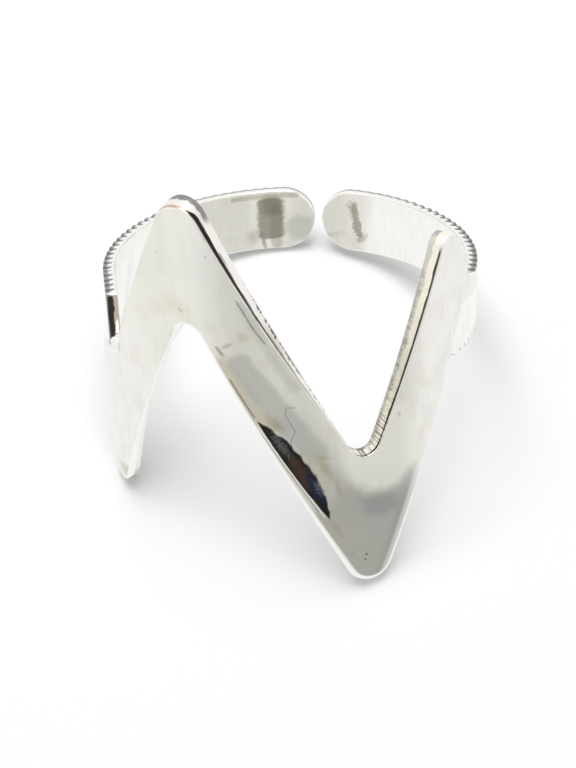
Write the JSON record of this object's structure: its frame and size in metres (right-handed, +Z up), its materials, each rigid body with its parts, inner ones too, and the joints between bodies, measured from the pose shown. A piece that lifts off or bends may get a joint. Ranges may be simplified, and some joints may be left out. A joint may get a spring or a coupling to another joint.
{
  "type": "initial ring",
  "caption": "Open silver finger ring: a flat zigzag initial bent round its front, soldered between reeded band arms with rounded ends.",
  "frame": {"origin": "on the finger hole's axis, half way up the band", "axes": "+Z is up from the surface that the ring lies on, the letter faces -Y, and +X is the letter's right"},
  "size_m": [0.0194, 0.0235, 0.0176],
  "materials": {
    "silver": "polished silver, lightly tarnished and scratched"
  },
  "bodies": {
    "root": {"ring": "silver"}
  },
  "joints": []
}
